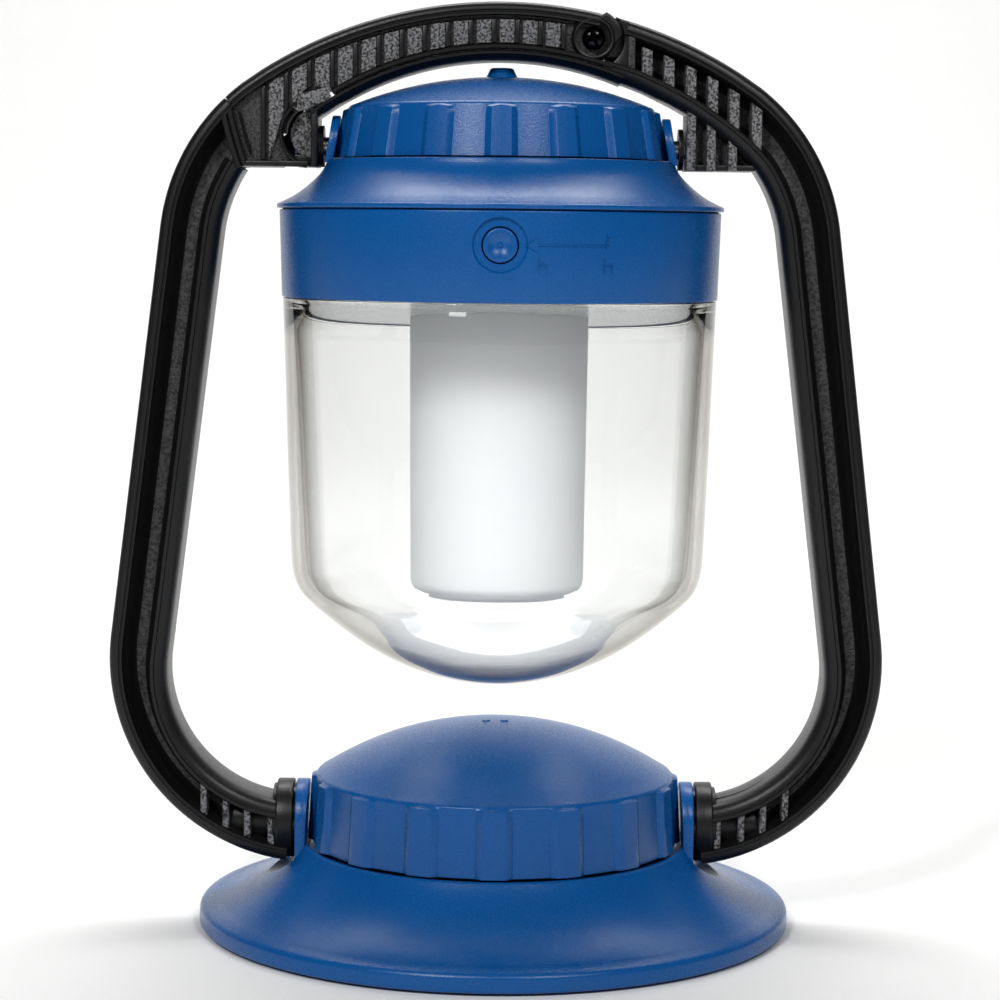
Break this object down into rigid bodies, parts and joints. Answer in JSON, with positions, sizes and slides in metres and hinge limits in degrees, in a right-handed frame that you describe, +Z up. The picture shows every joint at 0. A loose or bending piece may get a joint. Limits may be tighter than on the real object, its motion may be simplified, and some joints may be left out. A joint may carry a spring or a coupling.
{
  "type": "camping lantern",
  "caption": "Battery camping lantern: a clear globe and capped head hung in a carrying frame with a hinged gate, on a round foot it swings over.",
  "frame": {"origin": "on the lamp's axis at the level that the foot stands on", "axes": "+Z up, +X to the gate's screw side, -Y towards the power button"},
  "size_m": [0.2078, 0.16, 0.2474],
  "materials": {
    "blue_abs": "fine spark-eroded satin with a soft gloss",
    "black_nylon": "coarse moulded grain",
    "black_rubber": "matt",
    "steel": "drawn, zinc plated",
    "black_steel": "black oxide, polished head",
    "clear_pc": "clear, polished",
    "frosted_pc": "frosted white",
    "white_abs": "gloss white",
    "led_yellow": "phosphor",
    "cell_label": "plain printed jacket",
    "pcb_green": "solder mask",
    "wire_pvc": "PVC"
  },
  "bodies": {
    "base": {"base_foot": "blue_abs", "base_plate": "black_nylon", "plate_screws": "steel", "rubber_feet": "black_rubber", "cover_seal": "black_rubber"},
    "foot_cover": {"base_cover": "blue_abs"},
    "frame": {"left_arm": "black_nylon", "right_arm": "black_nylon", "foot_pins": "steel", "pivot_washers": "black_steel", "head_pins": "steel", "pivot_discs": "black_nylon"},
    "gate": {"gate": "black_nylon", "gate_screw": "black_steel", "gate_nut": "steel"},
    "head": {"bell_housing": "blue_abs", "collar_ring": "blue_abs", "housing_screws": "steel", "collar_gasket": "black_rubber", "reflector_plate": "white_abs", "diffuser": "frosted_pc", "led_board": "white_abs", "leds": "led_yellow", "battery_holder": "black_nylon", "battery_cells": "cell_label", "contact_springs": "steel", "switch_board": "pcb_green", "tact_switch": "black_nylon", "lead_wires": "wire_pvc", "button_spring": "steel", "cap_seal": "black_rubber", "globe_seal": "black_rubber"},
    "cap": {"head_cap": "blue_abs", "cap_contact": "steel"},
    "globe": {"globe": "clear_pc"},
    "button": {"power_button": "blue_abs"}
  },
  "joints": [
    {"name": "frame_swing", "type": "hinge", "parent": "base", "child": "frame", "pos_m": [0, 0, 0.0275], "axis": [1, 0, 0], "range_deg": [-35, 35]},
    {"name": "cover_twist", "type": "hinge", "parent": "base", "child": "foot_cover", "pos_m": [0, 0, 0.0224], "axis": [0, 0, 1], "range_deg": [0, 30]},
    {"name": "gate_open", "type": "hinge", "parent": "frame", "child": "gate", "pos_m": [0.024, 0, 0.238], "axis": [0, 1, 0], "range_deg": [0, 60]},
    {"name": "head_tilt", "type": "hinge", "parent": "frame", "child": "head", "pos_m": [0, 0, 0.2093], "axis": [1, 0, 0], "range_deg": [-10, 10]},
    {"name": "cap_twist", "type": "hinge", "parent": "head", "child": "cap", "pos_m": [0, 0, 0.2063], "axis": [0, 0, 1], "range_deg": [0, 30]},
    {"name": "globe_twist", "type": "hinge", "parent": "head", "child": "globe", "pos_m": [0, 0, 0.1695], "axis": [0, 0, 1], "range_deg": [0, 30]},
    {"name": "button_press", "type": "slide", "parent": "head", "child": "button", "axis": [0, 1, 0], "range_m": [0, 0.0012], "stiffness_N_per_m": 500, "springref_m": -0.002, "deforming": ["button_spring"]}
  ]
}
